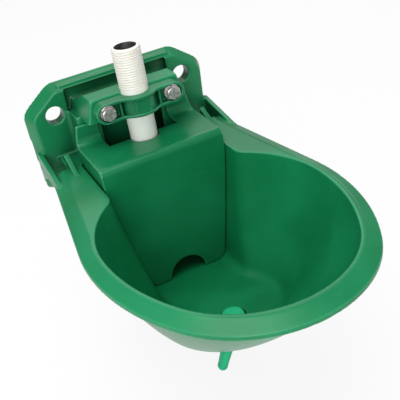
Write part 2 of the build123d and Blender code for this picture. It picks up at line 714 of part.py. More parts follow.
# hollow of the channel, interrupted by the ribs and by the wall round the pipe
with BuildPart() as strap_recess:
    with BuildSketch(from_front(STRAP_FACE)):
        with Locations((0, CLAMP_Z)):
            SlotOverall(2 * (STRAP_HALF - STRAP_RIM), STRAP_HEIGHT - 2 * STRAP_RIM)
    extrude(amount=STRAP_BULGE)
    with BuildSketch(Plane.XY.offset(CLAMP_Z - STRAP_HEIGHT / 2)):
        with Locations((0, PIPE_Y)):
            Circle(PIPE_R + STRAP_COVER)
        for x in STRAP_RIBS:
            reach = sqrt(max((STRAP_BULGE - STRAP_RIB) ** 2 - x**2, 0))
            rib_front = min(PIPE_Y - reach, STRAP_BACK - STRAP_LEDGE + STRAP_RIB)
            with Locations((x, (STRAP_BACK + rib_front) / 2)):
                Rectangle(STRAP_RIB, STRAP_BACK - rib_front)
    extrude(amount=STRAP_HEIGHT, mode=Mode.SUBTRACT)
    # room round the washers
    with BuildSketch(from_front(BOSS_FACE)):
        with Locations(*BOLTS):
            Circle(WASHER_R + WASHER_GAP)
    extrude(amount=STRAP_BULGE)

with BuildPart() as pipe_clamp:
    with BuildSketch(Plane.XY.offset(CLAMP_Z - STRAP_HEIGHT / 2)) as strap_plan:
        with Locations((0, STRAP_BACK - STRAP_LEDGE / 2)):
            Rectangle(2 * STRAP_HALF, STRAP_LEDGE)
        with Locations((0, PIPE_Y)):
            Circle(STRAP_BULGE)
        with Locations((0, STRAP_BACK + STRAP_BULGE)):
            Rectangle(2 * STRAP_HALF, 2 * STRAP_BULGE, mode=Mode.SUBTRACT)
        meeting = STRAP_BACK - STRAP_LEDGE
        joins = strap_plan.vertices().filter_by(
            lambda v: abs(v.Y - meeting) < STRAP_RIB / 10 and abs(v.X) < STRAP_BULGE
        )
        fillet(joins, STRAP_BULGE / 2)
    extrude(amount=STRAP_HEIGHT)
    with BuildSketch(from_front(0)):
        with Locations((0, CLAMP_Z)):
            SlotOverall(2 * STRAP_HALF, STRAP_HEIGHT)
    extrude(amount=STRAP_BULGE - PIPE_Y, mode=Mode.INTERSECT)
    add(strap_recess, mode=Mode.SUBTRACT)
    with BuildSketch(from_front(STRAP_FACE)):
        with Locations(*BOLTS):
            Circle(STRAP_BOSS_R)
    extrude(amount=STRAP_BOSS)
    with BuildSketch(Plane.XY.offset(CLAMP_Z - STRAP_HEIGHT)):
        with Locations((0, PIPE_Y)):
            Circle(PIPE_R + PIPE_FIT)
    extrude(amount=2 * STRAP_HEIGHT, mode=Mode.SUBTRACT)
    with BuildSketch(from_front(STRAP_BACK)):
        with Locations(*BOLTS):
            Circle(BOLT_HOLE_R)
    extrude(amount=STRAP_LEDGE, mode=Mode.SUBTRACT)
write(pipe_clamp, "pipe_clamp")

with BuildPart() as clamp_washers:
    with BuildSketch(from_front(BOSS_FACE)):
        with Locations(*BOLTS):
            Circle(WASHER_R)
            Circle(BOLT_HOLE_R, mode=Mode.SUBTRACT)
    extrude(amount=WASHER_THICK)
write(clamp_washers, "clamp_washers")

HEAD_Y = BOSS_FACE - WASHER_THICK
with BuildPart() as clamp_bolts:
    with BuildSketch(from_front(HEAD_Y)):
        with Locations(*BOLTS):
            RegularPolygon(HEX_FLAT / 2, 6, major_radius=False, rotation=90)
    extrude(amount=HEAD_THICK)
    with BuildSketch(from_front(BOLT_END)):
        with Locations(*BOLTS):
            Circle(BOLT_R)
    extrude(amount=BOLT_END - HEAD_Y)
write(clamp_bolts, "clamp_bolts")

with BuildPart() as clamp_nuts:
    with BuildSketch(from_front(NUT_Y)):
        with Locations(*BOLTS):
            RegularPolygon(HEX_FLAT / 2, 6, major_radius=False)
            Circle(BOLT_R + PIN_FIT, mode=Mode.SUBTRACT)
    extrude(amount=-NUT_THICK)
write(clamp_nuts, "clamp_nuts")

# ---- float valve --------------------------------------------------------------------------
def ring(outer, inner, low, high, y=PIPE_Y):
    """Upright ring or disc round the valve's axis."""
    with BuildPart() as piece:
        with BuildSketch(Plane.XY.offset(low)):
            with Locations((0, y)):
                Circle(outer)
                if inner:
                    Circle(inner, mode=Mode.SUBTRACT)
        extrude(amount=high - low)
    return piece


with BuildPart() as valve_body:
    add(ring(SOCKET_R, 0, NOZZLE_TOP - WALL, SOCKET_TOP))
    add(ring(SPOUT_R, 0, SPOUT_FOOT, NOZZLE_TOP))
    # lugs that carry the lever pin
    for side in (-1, 1):
        with BuildSketch(Plane.YZ.offset(side * (LUG_IN + LUG_WALL / 2))):
            with Locations((PIVOT_Y, PIVOT_Z), (PIPE_Y + SPOUT_R - LUG_R, SPOUT_FOOT + LUG_R)):
                Circle(LUG_R)
            make_hull()
        extrude(amount=LUG_WALL / 2, both=True)
    add(ring(PIPE_R + SOCKET_FIT, 0, NOZZLE_TOP, SOCKET_TOP), mode=Mode.SUBTRACT)
    add(ring(NOZZLE_R, 0, NOZZLE_FOOT, NOZZLE_TOP), mode=Mode.SUBTRACT)
    add(ring(GUIDE_R, 0, SPOUT_FOOT - LUG_R, NOZZLE_FOOT), mode=Mode.SUBTRACT)
    with BuildSketch(Plane.XY.offset(NOZZLE_FOOT)):
        with Locations((0, PIPE_Y)):
            Rectangle(3 * SPOUT_R, OUTLET_WIDTH)
            Rectangle(OUTLET_WIDTH, 3 * SPOUT_R)
    extrude(amount=-OUTLET_HEIGHT, mode=Mode.SUBTRACT)
    with BuildSketch(Plane.YZ.offset(-SPOUT_R)):
        with Locations((PIVOT_Y, PIVOT_Z)):
            Circle(PIN_R + PIN_FIT)
    extrude(amount=2 * SPOUT_R, mode=Mode.SUBTRACT)
write(valve_body, "valve_body")

with BuildPart() as inlet_strainer:
    add(ring(PIPE_R, STRAINER_R - STRAINER_WALL, GASKET_TOP, PIPE_FOOT))
    add(ring(STRAINER_R, STRAINER_R - STRAINER_WALL, PIPE_FOOT, STRAINER_TOP))
    add(ring(STRAINER_R, 0, STRAINER_TOP, STRAINER_TOP + STRAINER_WALL))
    # four long slots round the cup
    with BuildSketch(Plane.XY.offset(PIPE_FOOT + STRAINER_FLANGE)):
        with Locations((0, PIPE_Y)):
            Rectangle(3 * STRAINER_R, 2 * STRAINER_WALL)
            Rectangle(2 * STRAINER_WALL, 3 * STRAINER_R)
    extrude(amount=STRAINER_TOP - PIPE_FOOT - 2 * STRAINER_FLANGE, mode=Mode.SUBTRACT)
write(inlet_strainer, "inlet_strainer")

pipe_gasket = ring(PIPE_R, GASKET_R, NOZZLE_TOP, GASKET_TOP)
write(pipe_gasket, "pipe_gasket")

with BuildPart() as valve_nozzle:
    add(ring(NOZZLE_R, 0, NOZZLE_FOOT, NOZZLE_TOP))
    add(ring(NOZZLE_TIP_R, 0, NOZZLE_END, NOZZLE_FOOT))
    add(ring(NOZZLE_BORE_R, 0, NOZZLE_END, NOZZLE_TOP), mode=Mode.SUBTRACT)
write(valve_nozzle, "valve_nozzle")

with BuildPart() as valve_plunger:
    add(ring(GUIDE_R - GUIDE_FIT, 0, PLUNGER_FOOT, PLUNGER_TOP))
    add(ring(SEAL_R + SEAL_FIT, 0, SEAL_TOP - SEAL_THICK, PLUNGER_TOP), mode=Mode.SUBTRACT)
write(valve_plunger, "valve_plunger")

plunger_seal = ring(SEAL_R, 0, SEAL_TOP - SEAL_THICK, SEAL_TOP)
write(plunger_seal, "plunger_seal")

# ---- lever, pin and float -----------------------------------------------------------------
with BuildPart() as float_lever:
    with BuildSketch(Plane.YZ):
        with Locations((PIVOT_Y, PIVOT_Z)):
            Circle(LEVER_HUB_R)
        with Locations(((PIVOT_Y + SCREW_Y) / 2, (ARM_TOP + ARM_FOOT) / 2)):
            Rectangle(PIVOT_Y - SCREW_Y, LEVER_THICK)
        with Locations((PIPE_Y, ARM_TOP)):
            Circle(NUB_R)
        with Locations((PIVOT_Y, PIVOT_Z)):
            Circle(PIN_R + LEVER_FIT, mode=Mode.SUBTRACT)
    extrude(amount=LEVER_HALF, both=True)
    add(ring(PAD_R, 0, ARM_FOOT, ARM_TOP, SCREW_Y))
    add(ring(SCREW_HOLE_R, 0, ARM_FOOT, ARM_TOP, SCREW_Y), mode=Mode.SUBTRACT)
write(float_lever, "float_lever")

PIN_HALF = LUG_IN + LUG_WALL + CLIP_GAP + 2 * CLIP_THICK
with BuildPart() as lever_pin:
    with BuildSketch(Plane.YZ):
        with Locations((PIVOT_Y, PIVOT_Z)):
            Circle(PIN_R)
    extrude(amount=PIN_HALF, both=True)
write(lever_pin, "lever_pin")

with BuildPart() as pin_clips:
    for side in (-1, 1):
        with BuildSketch(Plane.YZ.offset(side * (LUG_IN + LUG_WALL + CLIP_GAP + CLIP_THICK / 2))):
            with Locations((PIVOT_Y, PIVOT_Z)):
                Circle(CLIP_R)
                Circle(PIN_R + PIN_FIT, mode=Mode.SUBTRACT)
        extrude(amount=CLIP_THICK / 2, both=True)
write(pin_clips, "pin_clips")

with BuildPart() as float_block:
    with BuildSketch(Plane.XY.offset(FLOAT_TOP)):
        with Locations((0, (FLOAT_BACK + FLOAT_FRONT) / 2)):
            RectangleRounded(2 * FLOAT_HALF, FLOAT_BACK - FLOAT_FRONT, FLOAT_ROUND)
    extrude(amount=FLOAT_FOOT - FLOAT_TOP, taper=FLOAT_TAPER)
    fillet(float_block.faces().sort_by(Axis.Z)[0].edges(), FLOAT_ROUND / 2)
    fillet(float_block.faces().sort_by(Axis.Z)[-1].edges(), FLOAT_ROUND / 2)
    add(ring(FLOAT_BOSS_R, 0, FLOAT_TOP - FLOAT_ROUND, ARM_FOOT, SCREW_Y))
    add(ring(SCREW_HOLE_R, 0, FLOAT_FOOT, ARM_FOOT, SCREW_Y), mode=Mode.SUBTRACT)
    add(
        ring(SCREW_SINK_R, 0, FLOAT_FOOT, FLOAT_FOOT + SCREW_HEAD + STEM_SHOW, SCREW_Y),
        mode=Mode.SUBTRACT,
    )
write(float_block, "float_block")

with BuildPart() as float_screw:
    with BuildSketch(Plane.XY.offset(FLOAT_FOOT + STEM_SHOW)):
        with Locations((0, SCREW_Y)):
            RegularPolygon(SCREW_HEX / 2, 6, major_radius=False)
    extrude(amount=SCREW_HEAD)
    add(ring(SCREW_R, 0, FLOAT_FOOT + SCREW_HEAD, NUT_TOP + SCREW_END, SCREW_Y))
write(float_screw, "float_screw")

float_washer = ring(FLOAT_WASHER_R, SCREW_HOLE_R, ARM_TOP, ARM_TOP + FLOAT_WASHER, SCREW_Y)
write(float_washer, "float_washer")

with BuildPart() as float_nut:
    with BuildSketch(Plane.XY.offset(ARM_TOP + FLOAT_WASHER)):
        with Locations((0, SCREW_Y)):
            RegularPolygon(SCREW_HEX / 2, 6, major_radius=False)
            Circle(SCREW_R + PIN_FIT, mode=Mode.SUBTRACT)
    extrude(amount=FLOAT_NUT)
write(float_nut, "float_nut")

# ---- drain plug with its pull tail --------------------------------------------------------
with BuildPart() as drain_plug:
    with BuildSketch(Plane.XY.offset(DRAIN_Z - DRAIN_SINK)):
        with Locations((0, DRAIN_Y)):
            Circle(PLUG_HEAD_R)
    extrude(amount=PLUG_HEAD)
    fillet(drain_plug.edges().sort_by(Axis.Z)[-1], PLUG_DOME)
    add(ring(DRAIN_R - PLUG_FIT, 0, STEM_FOOT, DRAIN_Z - DRAIN_SINK, DRAIN_Y))
    with BuildSketch(Plane.XY.offset(STEM_FOOT)):
        with Locations((0, DRAIN_Y)):
            Circle(DRAIN_R - PLUG_FIT)
    with BuildSketch(Plane.XY.offset(STEM_FOOT + PLUG_NECK)):
        with Locations((0, DRAIN_Y)):
            Circle(PLUG_NECK_R)
    loft()
    with BuildSketch(Plane.XY.offset(STEM_FOOT + PLUG_NECK)):
        with Locations((0, DRAIN_Y)):
            Circle(PLUG_NECK_R)
    with BuildSketch(Plane.XY.offset(STEM_FOOT + TAIL_KNEE[2])):
        with Locations((TAIL_KNEE[0], DRAIN_Y + TAIL_KNEE[1])):
            Circle(TAIL_KNEE_R)
    with BuildSketch(Plane.XY.offset(STEM_FOOT + TAIL_TIP[2])):
        with Locations((TAIL_TIP[0], DRAIN_Y + TAIL_TIP[1])):
            Circle(TAIL_TIP_R)
    loft(ruled=True)
    with Locations((TAIL_TIP[0], DRAIN_Y + TAIL_TIP[1], STEM_FOOT + TAIL_TIP[2])):
        Sphere(TAIL_TIP_R)
write(drain_plug, "drain_plug")
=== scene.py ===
"""Looks of a wall-hung livestock drinking bowl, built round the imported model. Metres, +Z up."""

import math

import bmesh
import bpy
from mathutils import Matrix, Vector


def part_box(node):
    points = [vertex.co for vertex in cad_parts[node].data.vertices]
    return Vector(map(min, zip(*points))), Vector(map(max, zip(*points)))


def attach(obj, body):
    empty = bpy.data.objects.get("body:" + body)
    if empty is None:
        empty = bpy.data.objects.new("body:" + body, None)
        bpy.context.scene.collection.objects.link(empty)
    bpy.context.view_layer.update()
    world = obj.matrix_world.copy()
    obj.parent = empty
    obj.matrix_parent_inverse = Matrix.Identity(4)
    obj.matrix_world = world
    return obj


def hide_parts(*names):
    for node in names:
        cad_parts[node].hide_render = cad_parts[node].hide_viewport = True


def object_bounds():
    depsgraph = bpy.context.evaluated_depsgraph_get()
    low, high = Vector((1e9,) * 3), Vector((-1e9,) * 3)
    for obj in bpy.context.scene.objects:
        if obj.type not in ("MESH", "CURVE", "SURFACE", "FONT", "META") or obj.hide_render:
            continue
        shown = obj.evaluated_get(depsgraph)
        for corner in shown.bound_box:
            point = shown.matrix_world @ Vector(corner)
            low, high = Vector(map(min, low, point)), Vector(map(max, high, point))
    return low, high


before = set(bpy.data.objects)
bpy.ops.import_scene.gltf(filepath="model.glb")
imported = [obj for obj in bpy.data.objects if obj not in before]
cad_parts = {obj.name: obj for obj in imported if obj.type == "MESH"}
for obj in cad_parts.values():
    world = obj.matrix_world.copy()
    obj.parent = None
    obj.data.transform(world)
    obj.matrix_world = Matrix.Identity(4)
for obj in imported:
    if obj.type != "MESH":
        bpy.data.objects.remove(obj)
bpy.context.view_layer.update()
MM = 0.001


# ---- camera: stands in front, to the left and above, looking down into the bowl. Its lens is
# shifted a little, as on a camera with a sliding back.
lens = bpy.data.cameras.new("camera")
lens.sensor_width = 36.0
lens.lens = 63.2           # focal length, in millimetres
lens.shift_x = -0.00125
camera = bpy.data.objects.new("camera", lens)
bpy.context.scene.collection.objects.link(camera)
camera_right = Vector((0.8812, -0.4478, -0.1513))
camera_up = Vector((0.3529, 0.4102, 0.8410))
camera_back = camera_right.cross(camera_up)
camera_place = Vector((-144.7, -503.5, 203.7)) * MM
camera.matrix_world = Matrix.Translation(camera_place) @ Matrix(
    (camera_right, camera_up, camera_back)
).transposed().to_4x4()
bpy.context.scene.camera = camera
bpy.context.scene.view_settings.view_transform = "Standard"


# ---- studio: a white paper floor and three soft boxes, one high behind, one overhead and one
# in front to the left. The eye sees white all round, as inside a light tent.
def lamp(name, place, aim, size, power):
    """Square soft lamp that points at aim."""
    light = bpy.data.lights.new(name, "AREA")
    light.size = size
    light.energy = power
    holder = bpy.data.objects.new(name, light)
    holder.location = place
    holder.rotation_euler = (Vector(aim) - Vector(place)).to_track_quat("-Z", "Y").to_euler()
    bpy.context.scene.collection.objects.link(holder)


MIX_SHARE, MIX_FIRST, MIX_SECOND, MIX_RESULT = 0, 6, 7, 2      # a Mix node's sockets for colours


class Shade:
    """A socket in a material's tree: sums on it add Math nodes, node() adds any other node."""

    def __init__(self, tree, socket=None):
        self.tree = tree
        self.socket = socket

    def feed(self, target, value):
        """Links value to the socket target, or writes it there when it is a plain value."""
        if isinstance(value, Shade):
            self.tree.links.new(value.socket, target)
        else:
            target.default_value = value

    def node(self, kind, settings=None, inputs=None, output=0):
        """Adds a node: its settings first, then values or links; gives one of its outputs."""
        made = self.tree.nodes.new("ShaderNode" + kind)
        for name, value in (settings or {}).items():
            setattr(made, name, value)
        for name, value in (inputs or {}).items():
            self.feed(made.inputs[name], value)
        return Shade(self.tree, made.outputs[output])

    def maths(self, operation, first, second):
        return self.node("Math", {"operation": operation}, {0: first, 1: second})

    def __add__(self, other):
        return self.maths("ADD", self, other)

    __radd__ = __add__

    def __sub__(self, other):
        return self.maths("SUBTRACT", self, other)

    def __rsub__(self, other):
        return self.maths("SUBTRACT", other, self)

    def __mul__(self, other):
        return self.maths("MULTIPLY", self, other)

    __rmul__ = __mul__

    def between(self, low, high):
        """0 below low, 1 above high, soft in between."""
        ends = {"Value": self, "From Min": low, "From Max": high}
        return self.node("MapRange", {"interpolation_type": "SMOOTHSTEP"}, ends)

    def mix(self, first, second):
        """first where this is 0, second where it is 1; colours or links of colours."""
        ends = {MIX_SHARE: self, MIX_FIRST: first, MIX_SECOND: second}
        return self.node("Mix", {"data_type": "RGBA"}, ends, output=MIX_RESULT)


PAPER_GLOW = 0.88          # the floor's glow for eye and mirror rays; the rest takes the shadow
FLOOR_HALF = 3.0
FLOOR_DROP = 0.0005


def white_floor():
    """Floor that reads as white paper yet keeps a soft shadow."""
    material = bpy.data.materials.new("paper_floor")
    material.use_nodes = True
    tree = material.node_tree
    tree.nodes.clear()
    graph = Shade(tree)
    seen = graph.node("LightPath", output="Is Camera Ray")
    glossy = graph.node("LightPath", output="Is Glossy Ray")
    share = (seen + glossy) * PAPER_GLOW
    paper = graph.node("BsdfDiffuse", None, {"Color": (0.86, 0.86, 0.86, 1.0)})
    glow = graph.node("Emission", None, {"Color": (1.0, 1.0, 1.0, 1.0), "Strength": 1.0})
    both = graph.node("MixShader", None, {0: share, 1: paper, 2: glow})
    out = tree.nodes.new("ShaderNodeOutputMaterial")
    tree.links.new(both.socket, out.inputs["Surface"])
    return material


floor_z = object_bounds()[0][2] - FLOOR_DROP
floor_signs = ((-1, -1), (1, -1), (1, 1), (-1, 1))
floor_corners = [(x * FLOOR_HALF, y * FLOOR_HALF, floor_z) for x, y in floor_signs]
floor_mesh = bpy.data.meshes.new("floor")
floor_mesh.from_pydata(floor_corners, [], [(0, 1, 2, 3)])
floor_mesh.materials.append(white_floor())
floor = bpy.data.objects.new("floor", floor_mesh)
bpy.context.scene.collection.objects.link(floor)

TENT_LIGHT = 0.42          # strength of the tent's even light
TENT_MIRROR = -0.10        # what mirror rays see more or less than that
world = bpy.data.worlds.new("studio")
world.use_nodes = True
sky = Shade(world.node_tree)
sky_seen = sky.node("LightPath", output="Is Camera Ray")
sky_glossy = sky.node("LightPath", output="Is Glossy Ray")
background = world.node_tree.nodes["Background"]
strength = TENT_LIGHT + sky_seen * (1.0 - TENT_LIGHT) + sky_glossy * TENT_MIRROR
sky.feed(background.inputs["Strength"], strength)
background.inputs["Color"].default_value = (1.0, 1.0, 1.0, 1.0)
bpy.context.scene.world = world
OBJECT_MIDDLE = (0.0, -0.13, -0.05)
lamp("soft_box_behind", (0.35, 0.9, 1.0), OBJECT_MIDDLE, size=0.9, power=5.0)
lamp("soft_box_overhead", (-0.25, -0.35, 1.1), OBJECT_MIDDLE, size=0.9, power=10.0)
lamp("soft_box_front", (-0.6, -1.2, 0.35), OBJECT_MIDDLE, size=0.8, power=9.0)


# ---- bowl body: back plate, float chamber, bowl and rim are one injection moulding in mid-green
# polyolefin. It hangs on two wall bolts through the ears and carries every other piece.
def moulded(node, name, voxel, passes):
    """Copy of a CAD solid with the soft edges that a mould leaves."""
    rough = bpy.data.objects.new(name + "_rough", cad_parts[node].data.copy())
    bpy.context.scene.collection.objects.link(rough)
    skin = rough.modifiers.new("skin", "REMESH")
    skin.mode = "VOXEL"
    skin.voxel_size = voxel
    soften = rough.modifiers.new("soften", "SMOOTH")
    soften.factor = 0.5
    soften.iterations = passes
    bpy.context.view_layer.update()
    graph = bpy.context.evaluated_depsgraph_get()
    mesh = bpy.data.meshes.new_from_object(rough.evaluated_get(graph))
    bpy.data.objects.remove(rough)
    mesh.name = name
    mesh.materials.clear()
    mesh.shade_smooth()
    return standing(name, mesh)


def standing(name, mesh):
    """Object for a finished mesh."""
    piece = bpy.data.objects.new(name, mesh)
    bpy.context.scene.collection.objects.link(piece)
    return piece


def polished(piece, zone, passes):
    """Evens out the part of a moulding where zone says so, as a polished mould does."""
    group = piece.vertex_groups.new(name="polished")
    group.add([v.index for v in piece.data.vertices if zone(v.co)], 1.0, "REPLACE")
    even = piece.modifiers.new("even", "SMOOTH")
    even.factor = 0.5
    even.iterations = passes
    even.vertex_group = group.name
    bpy.context.view_layer.update()
    graph = bpy.context.evaluated_depsgraph_get()
    mesh = bpy.data.meshes.new_from_object(piece.evaluated_get(graph))
    piece.modifiers.clear()
    piece.vertex_groups.clear()
    piece.data = mesh
    mesh.name = piece.name


def finish_of(name):
    """Empty material with its shader: returns the material, its graph and the shader node."""
    material = bpy.data.materials.new(name)
    material.use_nodes = True
    graph = Shade(material.node_tree)
    return material, graph, material.node_tree.nodes["Principled BSDF"]


DRAIN_PLACE = Vector((0.0, -160.0 * MM, -121.0 * MM))
GROOVE_INSIDE = (8.1 * MM, 8.5 * MM)       # painted shade darkens the gap ring round the drain plug's head
GROOVE_OUTSIDE = (9.4 * MM, 9.9 * MM)
GROOVE_SHADE = 0.85
EDGE_BAND = (0.51, 0.57)                   # how sharp an edge starts to pale, and is fully pale, with wear and painted sheen
EDGE_WEAR_AND_SHEEN = 0.6
WEAR_AND_SHEEN_PALE = (0.085, 0.42, 0.25, 1.0)
SCRATCH_TURN = (0.3, 0.5, 0.9)
SCRATCH_STRETCH = (30.0, 420.0, 420.0)
SCRATCH_BAND = (0.71, 0.76)
SCRATCH_WEAR = 0.08
OPEN_BAND = (0.0, 0.95)                    # share of open air where a hollow gets full painted shade, and none
PAINTED_HOLLOW_SHADE = (0.001, 0.018, 0.007, 1.0)
HOLLOW_REACH = 40.0 * MM


def green_plastic(name, deep, pale, gloss):
    """Moulded polyolefin: slightly cloudy colour, edges paled by wear and a painted sheen, faint
    scratches, painted shade in hollows and in the ring round the drain plug's head, and a fine skin.
    """
    material, graph, shader = finish_of(name)
    place = graph.node("TexCoord", output="Object")
    cloud = graph.node("TexNoise", None, {"Vector": place, "Scale": 16.0, "Detail": 3.0})
    grain = graph.node("TexNoise", None, {"Vector": place, "Scale": 1400.0, "Detail": 2.0})
    edge = graph.node("NewGeometry", output="Pointiness").between(*EDGE_BAND)
    streak = graph.node(
        "Mapping", None, {"Vector": place, "Rotation": SCRATCH_TURN, "Scale": SCRATCH_STRETCH}
    )
    scratch = graph.node("TexNoise", None, {"Vector": streak, "Scale": 2.0, "Detail": 1.0})
    scratch = scratch.between(*SCRATCH_BAND)
    colour = cloud.between(0.35, 0.68).mix((*deep, 1.0), (*pale, 1.0))
    # sharp edges pale partly with wear and partly as a painted sheen; scratches pale as wear
    colour = (edge * EDGE_WEAR_AND_SHEEN + scratch * SCRATCH_WEAR).mix(colour, WEAR_AND_SHEEN_PALE)
    # painted shade: where little open air reaches, the green turns to near-black green
    open_air = graph.node(
        "AmbientOcclusion", {"samples": 6, "only_local": True}, {"Distance": HOLLOW_REACH}, output="AO"
    )
    colour = open_air.between(*OPEN_BAND).mix(PAINTED_HOLLOW_SHADE, colour)
    from_drain = graph.node(
        "VectorMath", {"operation": "DISTANCE"}, {0: place, 1: DRAIN_PLACE}, output="Value"
    )
    # painted shade in the gap ring between the drain plug's head and its seat
    groove = from_drain.between(*GROOVE_INSIDE) * (1.0 - from_drain.between(*GROOVE_OUTSIDE))
    colour = (groove * GROOVE_SHADE).mix(colour, PAINTED_HOLLOW_SHADE)
    graph.feed(shader.inputs["Base Color"], colour)
    graph.feed(shader.inputs["Roughness"], gloss + cloud * 0.08 + scratch * 0.10)
    relief = grain * 0.6 + cloud * 0.4 + scratch * -0.3
    graph.feed(
        shader.inputs["Normal"],
        graph.node("Bump", None, {"Strength": 0.12, "Distance": 0.0003, "Height": relief}),
    )
    shader.inputs["Specular IOR Level"].default_value = 0.32
    return material


BOWL_VOXEL = 0.7 * MM
BASIN_PASSES = 60
BASIN_TOP = -46.0 * MM
BASIN_BACK = -26.0 * MM
DRAIN_CLEAR = 14.0 * MM
bowl = moulded("bowl_body", "bowl_shell", BOWL_VOXEL, passes=2)
polished(
    bowl,
    lambda spot: spot.z < BASIN_TOP and spot.y < BASIN_BACK and (spot - DRAIN_PLACE).length > DRAIN_CLEAR,
    BASIN_PASSES,
)
bowl.data.materials.append(
    green_plastic("bowl_green", (0.004, 0.170, 0.058), (0.008, 0.228, 0.086), 0.28)
)
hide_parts("bowl_body")
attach(bowl, "housing")


# ---- water inlet: a riser pipe moulded in off-white polypropylene, with a half inch pipe thread,
# 14 turns an inch, on top. Its plain shank goes down through the saddle into the valve.
INCH = 25.4 * MM
TURNS_PER_INCH = 14
THREAD_PITCH = INCH / TURNS_PER_INCH
THREAD_CREST = 10.4775 * MM
THREAD_DEPTH = 0.34 * MM
CREST_FULLNESS = 0.8       # under 1 makes the crests broader than the roots
THREAD_RELIEF = 0.4 * MM   # plain shank between the last turn and the saddle
THREAD_LOW, THREAD_HIGH = 18.2 * MM, 48.8 * MM
PIPE_BORE = 7.5 * MM
PIPE_SIDES = 96
ROWS_PER_TURN = 12
pipe_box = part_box("inlet_pipe")
pipe_y = (pipe_box[0].y + pipe_box[1].y) / 2
pipe_top, pipe_foot = pipe_box[1].z, pipe_box[0].z
PIPE_SHANK = 10.3 * MM


def thread_radius(z, angle):
    """Height of the thread form at one point: rounded crest and root that fade out at both ends."""
    turn = (z / THREAD_PITCH - angle / math.tau) % 1.0
    crest = 0.5 - 0.5 * math.cos(math.tau * turn)
    start = min(1.0, max(0.0, (z - THREAD_LOW) / THREAD_PITCH))
    end = min(1.0, max(0.0, (THREAD_HIGH - z) / THREAD_PITCH))
    plain = PIPE_SHANK if z < THREAD_LOW + THREAD_PITCH else THREAD_CREST - THREAD_DEPTH
    cut = THREAD_CREST - THREAD_DEPTH * (1.0 - crest ** CREST_FULLNESS)
    share = min(start, end)
    return plain + (cut - plain) * share


def turned(form, profile, sides, middle=(0.0, 0.0), solid=False):
    """Skin through rings of (radius or radius function, height) round middle.

    A solid gets flat ends, and anything else closes from its last ring to its first."""
    rings = []
    for radius, z in profile:
        ring = []
        for step in range(sides):
            angle = math.tau * step / sides
            reach = radius(z, angle) if callable(radius) else radius
            across = middle[0] + reach * math.cos(angle)
            ring.append(form.verts.new((across, middle[1] + reach * math.sin(angle), z)))
        rings.append(ring)
    if solid:
        form.faces.new(list(reversed(rings[0])))
        form.faces.new(rings[-1])
    for low, high in zip(rings, rings[1:] if solid else rings[1:] + rings[:1]):
        for step in range(sides):
            following = (step + 1) % sides
            form.faces.new((low[step], low[following], high[following], high[step]))


def finished(form, name, place):
    """Object made from a form, moved from its own axis to its place."""
    form.transform(place)
    bmesh.ops.recalc_face_normals(form, faces=form.faces)
    mesh = bpy.data.meshes.new(name)
    form.to_mesh(mesh)
    form.free()
    mesh.shade_smooth()
    return standing(name, mesh)


PLAIN_WHITE = (0.93, 0.92, 0.87, 1.0)
PIPE_TONES = ((0.79, 0.76, 0.70, 1.0), (0.84, 0.815, 0.76, 1.0))
HOLLOW_DARK_WHITE = (0.62, 0.56, 0.47, 1.0)
HOLLOW_DARKENING = 0.10
PAINTED_LIGHT_FULL_BELOW = 12.0 * MM   # below this height the pipe is all plain white, painted light on the lower shank
# from here up the pipe has only its own tones; in between the painted light fades out
PAINTED_LIGHT_GONE_ABOVE = 24.0 * MM


def pale_plastic(name, rough, upper_tones=None):
    """Natural polypropylene or acetal: waxy, and light passes a little way in.

    Two cloudy tones colour it from a given height up; below that it turns to the plain white, painted
    light on the lower shank."""
    material, graph, shader = finish_of(name)
    place = graph.node("TexCoord", output="Object")
    cloud = graph.node("TexNoise", None, {"Vector": place, "Scale": 60.0, "Detail": 2.0})
    hollow = 1.0 - graph.node("NewGeometry", output="Pointiness").between(0.42, 0.5)
    colour = PLAIN_WHITE
    if upper_tones:
        height = graph.node("SeparateXYZ", None, {"Vector": place}, output="Z")
        tone = cloud.between(0.35, 0.7).mix(*upper_tones)
        # painted light: the lower shank turns to the plain white so that it reads lit
        colour = height.between(PAINTED_LIGHT_FULL_BELOW, PAINTED_LIGHT_GONE_ABOVE).mix(PLAIN_WHITE, tone)
    # the hollows turn a little darker
    graph.feed(shader.inputs["Base Color"], (hollow * HOLLOW_DARKENING).mix(colour, HOLLOW_DARK_WHITE))
    graph.feed(shader.inputs["Roughness"], rough + cloud * 0.12)
    shader.inputs["Subsurface Weight"].default_value = 0.75
    shader.inputs["Subsurface Radius"].default_value = (0.016, 0.014, 0.011)
    graph.feed(
        shader.inputs["Normal"],
        graph.node("Bump", None, {"Strength": 0.08, "Distance": 0.0002, "Height": cloud}),
    )
    return material


def dark_bore_finish(name):
    """Near-black colour for the bore and the mouth's inner edge: dull, with grey smears."""
    material, graph, shader = finish_of(name)
    place = graph.node("TexCoord", output="Object")
    smear = graph.node("TexNoise", None, {"Vector": place, "Scale": 260.0, "Detail": 3.0})
    colour = smear.between(0.35, 0.75).mix((0.010, 0.010, 0.012, 1.0), (0.045, 0.045, 0.052, 1.0))
    graph.feed(shader.inputs["Base Color"], colour)
    graph.feed(shader.inputs["Roughness"], 0.45 + smear * 0.2)
    return material


